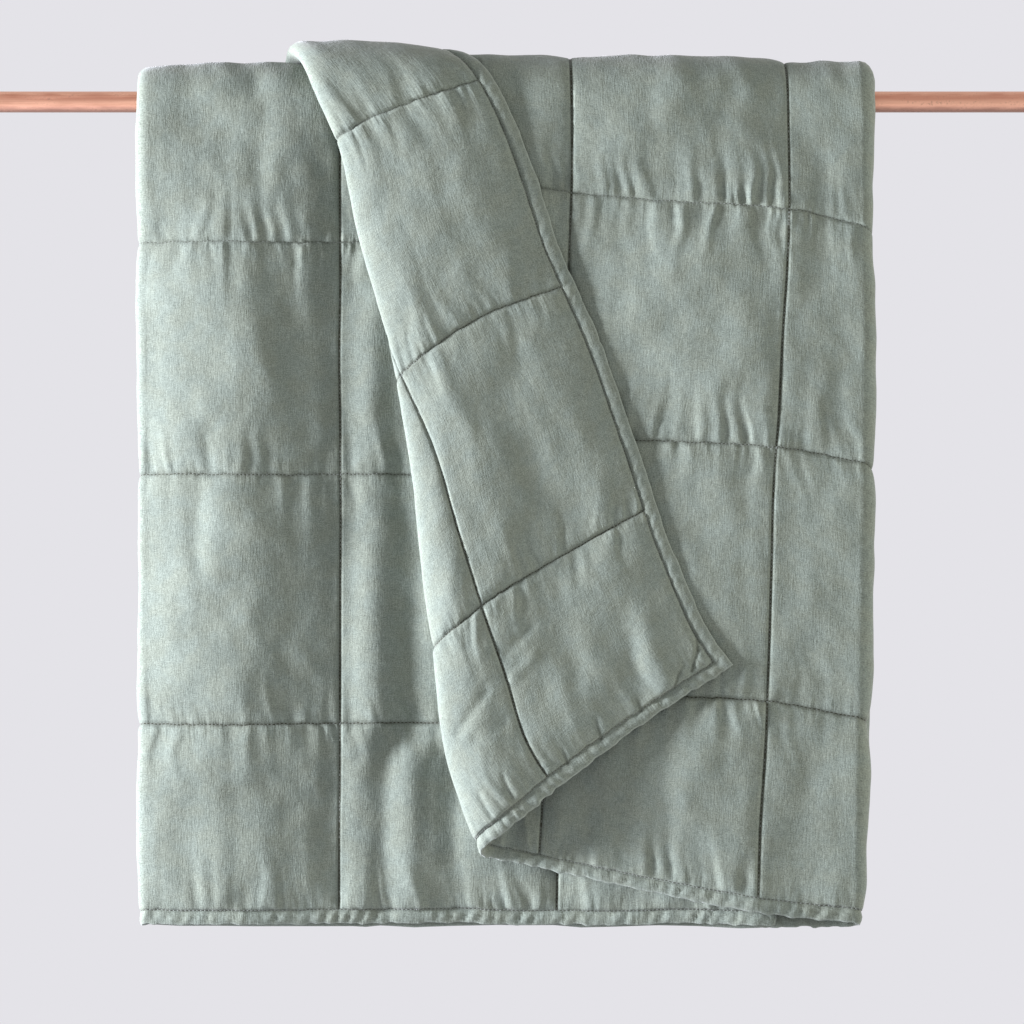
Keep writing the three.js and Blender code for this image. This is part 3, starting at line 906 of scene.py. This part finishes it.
def makeQuilt(material):
    used, polygons = np.unique(clothTriangles(), return_inverse=True)
    polygons = polygons.reshape(-1, 3)
    points = np.concatenate([faces[-1].reshape(-1, 3), faces[1].reshape(-1, 3)])[used]
    flat = np.stack([uGrid.ravel(), vGrid.ravel()], 1)
    flat = np.concatenate([flat, flat])[used]
    piece = meshPiece("quiltCloth", points, polygons, material)
    mesh = piece.data
    layer = mesh.uv_layers.new(name="flatCloth", do_init=False)
    layer.uv.foreach_set("vector", perCorner(mesh, flat * metre).astype(np.float32).ravel())
    u, v = flat.T
    fromEdge = edgeDistance(u, v)
    inHem = fromEdge < hemWidth - 0.01
    pressed = pressedLine["by"] * ease(v, *pressedLine["from"]) * (1 - ease(v, *pressedLine["to"]))
    pressed = pressed * (u > pressedLine["past"] * square)
    distances = {
        "fromColumn": np.where(inHem, farOff, np.abs(nearest(columnSeams[1:-1], u)[1]) + pressed),
        "fromRow": np.where(inHem, farOff, np.abs(nearest(rowSeams[1:-1], v)[1])),
        "fromHem": np.abs(fromEdge - hemWidth),
        "fromEdge": fromEdge,
        "fromGather": np.abs(nearest(rowSeams, v)[1]),
    }
    for name, values in distances.items():
        mesh.attributes.new(name, "FLOAT", "POINT").data.foreach_set("value", values.astype(np.float32))
    print("quilt:", len(polygons), "triangles")
    return piece


stitchSizes = {
    "length": 3.3,
    "pitch": 4.1,
    "radius": 0.4,
    "sides": 5,
    "proud": -0.05,
    "fromHem": 2.0,
    "shoulder": 0.55,  # how far out the two rings sit, in half lengths
    "dive": 1.2,  # how deep the tips go, in radii
    # which are sewn: u of the middle and outer layers, and the angle round the flap's roll
    "middleTo": 690,
    "outerFrom": 1480,
    "frontRollTo": 1.9,
    "flapRollFrom": 1.0,
}


def makeStitches(material):
    # spindles laid along every sewn line that shows: two rings and two tips each
    s = stitchSizes
    placed = []
    for along, lines, full in ((1, columnSeams, quiltWidth), (0, rowSeams, quiltLength)):
        run = np.arange(hemWidth + s["fromHem"], full - hemWidth - s["fromHem"], s["pitch"])
        lineGrid, runGrid = np.meshgrid(lines, run, indexing="ij")
        pair = (lineGrid.ravel(), runGrid.ravel())
        placed.append(np.stack([*(pair if along else pair[::-1]), np.full(runGrid.size, along)], 1))
    placed = np.concatenate(placed)
    roll = rollAngle(placed[:, 0], placed[:, 1])
    onFront = (placed[:, 0] < s["middleTo"]) | ((placed[:, 0] > s["outerFrom"]) & (roll < s["frontRollTo"]))
    onFlap = roll > s["flapRollFrom"]
    sides = s["sides"]
    turn = np.arange(sides) * 2 * math.pi / sides
    reach = s["length"] / 2
    shoulder = s["shoulder"] * reach
    points = []
    for side, shown in ((-1, onFront), (1, onFlap)):
        u, v, along = placed[shown].T
        out = clothNormal(u, v) * side
        centre = clothMiddle(u, v) + out * (faceHeight(u, v, side) + s["proud"])[:, None]
        ahead = clothMiddle(u + reach * (1 - along), v + reach * along)
        behind = clothMiddle(u - reach * (1 - along), v - reach * along)
        way = (ahead - behind) / np.linalg.norm(ahead - behind, axis=1, keepdims=True)
        across = np.cross(out, way)
        ring = across[:, None] * np.cos(turn)[None, :, None] + out[:, None] * np.sin(turn)[None, :, None]
        hoop = centre[:, None] + ring * s["radius"]
        rings = [hoop + way[:, None] * shift for shift in (-shoulder, shoulder)]
        dive = out * s["radius"] * s["dive"]
        tips = [(centre + way * reach * sign - dive)[:, None] for sign in (-1, 1)]
        points.append(np.concatenate([*rings, *tips], 1))
    points = np.concatenate(points)
    k = np.arange(sides)
    n = (k + 1) % sides
    low, high = np.full_like(k, 2 * sides), np.full_like(k, 2 * sides + 1)
    corners = [(k, k + sides, n + sides), (k, n + sides, n), (n, low, k), (k + sides, high, n + sides)]
    shape = np.concatenate([np.stack(three, 1) for three in corners])
    size = points.shape[1]
    polygons = (np.arange(len(points))[:, None, None] * size + shape).reshape(-1, 3)
    print("stitches:", len(points), "with", len(polygons), "triangles")
    return meshPiece("quiltStitches", points.reshape(-1, 3), polygons, material)


rodSizes = {
    "radius": 11.1,
    "length": 1200.0,
    "wall": 1.1,
    "lip": 0.5,
    "lipRound": 0.3,  # share of the lip by which the middle of its rounding stands back
    "boreDepth": 45.0,
    "sides": 96,
    "rings": 25,
    "ringsFromEnd": 10.0,
}

copperLook = {
    "bright": (0.76, 0.42, 0.285),
    "deep": (0.50, 0.21, 0.135),
    # dull tarnish for specks, also used for the painted dark reflection on the underside
    "tarnishAndDarkReflection": (0.24, 0.14, 0.105),
    # how many to the metre along and across
    "drawn": (5, 700, 700),
    "patch": (28, 130, 130),
    "speck": 520.0,
    "depth": 0.0002,
    # heights above the axis, in radii: a darker painted reflection band above the middle, and a painted dark
    # reflection on the underside
    "stripeFrom": (-0.05, 0.25),
    "stripeTo": (0.55, 0.8),
    "undersideReflection": (-0.9, -0.45),
}


def copperFinish():
    look = copperLook
    f = Finish("drawnCopper", Metallic=1.0, Roughness=0.3)
    where = f.node("ShaderNodeTexCoord", out="Object")
    drawn = f.noise(where, 1.0, 3.0, look["drawn"])
    patch = f.noise(where, 1.0, 4.0, look["patch"])
    speck = f.noise(where, look["speck"], 3.0)
    up = f.node("ShaderNodeSeparateXYZ", {}, {"Vector": where}, out="Z") / (rodSizes["radius"] * metre)
    # painted reflection: a darker band above the middle and a dark underside, placed by height above the axis
    strayed = up + 0.5 * patch - 0.25
    stripe = f.ramp(strayed, *look["stripeFrom"]) * (1 - f.ramp(strayed, *look["stripeTo"]))
    underReflection = 1 - f.ramp(strayed, *look["undersideReflection"])
    tone = f.between(look["deep"], look["bright"], 0.9 * drawn + patch - 0.6 * stripe)
    specked = f.ramp(speck * 0.6 + patch * 0.4, 0.55, 0.7)
    f.feed("Base Color", f.between(tone, look["tarnishAndDarkReflection"], specked * 0.5 + underReflection * 0.75))
    f.feed("Roughness", 0.2 + 0.2 * drawn + 0.2 * patch)
    f.bump(drawn * 0.6 + speck * 0.5, look["depth"])
    return f.material


def makeRod(material):
    # a pipe: bore, rounded lip and outer face as one profile turned about the x axis
    s = rodSizes
    end, radius, sides, lip = s["length"] / 2, s["radius"], s["sides"], s["lip"]
    bore = radius - s["wall"]
    back = s["lipRound"] * lip
    half = [(end - s["boreDepth"], bore), (end - lip, bore), (end - back, bore + back), (end, bore + lip),
            (end, radius - lip), (end - back, radius - back), (end - lip, radius)]
    body = [(x, radius) for x in np.linspace(end - s["ringsFromEnd"], s["ringsFromEnd"] - end, s["rings"])]
    profile = np.array(half + body + [(-x, r) for x, r in half[::-1]])
    turn = np.arange(sides) * 2 * math.pi / sides
    x = np.repeat(profile[:, :1], sides, 1)
    rings = np.stack([x, profile[:, 1:] * np.cos(turn), profile[:, 1:] * np.sin(turn)], -1)
    points = rings.reshape(-1, 3)
    k = np.arange(sides)
    n = (k + 1) % sides
    base = np.arange(len(profile) - 1)[:, None] * sides
    quads = np.stack([base + k, base + sides + k, base + sides + n, base + n], -1).reshape(-1, 4)
    last = (len(profile) - 1) * sides
    polygons = quads.tolist() + [k.tolist(), (last + k)[::-1].tolist()]
    return meshPiece("copperRod", points, polygons, material)


quiltPiece = makeQuilt(linenFinish())
stitchPiece = makeStitches(threadFinish())
rodPiece = makeRod(copperFinish())
for piece in (quiltPiece, stitchPiece, rodPiece):
    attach(piece, "root")
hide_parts("quilt")
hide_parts("rod")
print("pieces ride on the frame")

# In metres and watts
studio = {
    "backdrop": (0.7758, 0.7682, 0.8070),
    "floorDrop": -1.42,
    "floorRadius": 1.5,
    "floorSides": 64,
    "floorDark": (0.40, 0.395, 0.415),
    "floorLight": (0.44, 0.435, 0.455),
    "floorCloud": 6.0,
    "cameraAway": 5.0,
    "cameraLevel": -0.4342,
    "frameWidth": 1.0844,
}
studioLamps = [
    {"name": "softKey", "place": (-4.2, -0.80, -0.25), "aim": (0, 0, -0.4), "size": (0.8, 1.0),
     "power": 1035.0, "colour": (0.995, 1.0, 1.15)},
    {"name": "rightFill", "place": (4.0, -0.7, -0.3), "aim": (0, 0, -0.4), "size": (1.5, 1.5),
     "power": 120.0, "colour": (1.0, 0.95, 0.86)},
    {"name": "lowCard", "place": (0.0, -1.7, -1.25), "aim": (0, 0, 0), "size": (1.6, 0.5),
     "power": 2.0, "colour": (1.0, 1.0, 1.0)},
]


def makeFloor():
    # flat disc under the rod
    sides = studio["floorSides"]
    turn = np.arange(sides) * 2 * math.pi / sides
    ring = np.stack([np.cos(turn), np.sin(turn), np.zeros(sides)], 1)
    points = ring * studio["floorRadius"] / metre + np.array([0, 0, studio["floorDrop"] / metre])
    f = Finish("palePlaster", Roughness=0.8)
    where = f.node("ShaderNodeTexCoord", out="Object")
    cloud = f.noise(where, studio["floorCloud"], 3.0)
    f.feed("Base Color", f.between(studio["floorDark"], studio["floorLight"], cloud))
    floor = meshPiece("paleFloor", points, [list(range(sides))], f.material, smooth=False)


def addLamp(name, place, aim, size, power, colour):
    light = bpy.data.lights.new(name, "AREA")
    light.shape = "RECTANGLE"
    light.size, light.size_y = size
    light.energy = power
    light.color = colour
    lamp = bpy.data.objects.new(name, light)
    lamp.location = place
    lamp.rotation_euler = (Vector(aim) - Vector(place)).to_track_quat("-Z", "Y").to_euler()
    bpy.context.scene.collection.objects.link(lamp)


def makeBackdrop():
    world = bpy.data.worlds.new("paleStudio")
    bpy.context.scene.world = world
    world.use_nodes = True
    shader = next(n for n in world.node_tree.nodes if n.type == "BACKGROUND")
    shader.inputs["Color"].default_value = (*studio["backdrop"], 1)


def makeCamera():
    lens = bpy.data.cameras.new("front")
    lens.sensor_fit = "HORIZONTAL"
    lens.angle = 2 * math.atan(studio["frameWidth"] / 2 / studio["cameraAway"])
    camera = bpy.data.objects.new("front", lens)
    camera.location = (0, -studio["cameraAway"], studio["cameraLevel"])
    camera.rotation_euler = (math.pi / 2, 0, 0)
    bpy.context.scene.collection.objects.link(camera)
    bpy.context.scene.camera = camera


makeFloor()
makeBackdrop()
for lamp in studioLamps:
    addLamp(**lamp)
makeCamera()
bpy.context.scene.view_settings.view_transform = "Standard"
print("floor, light and camera are set")
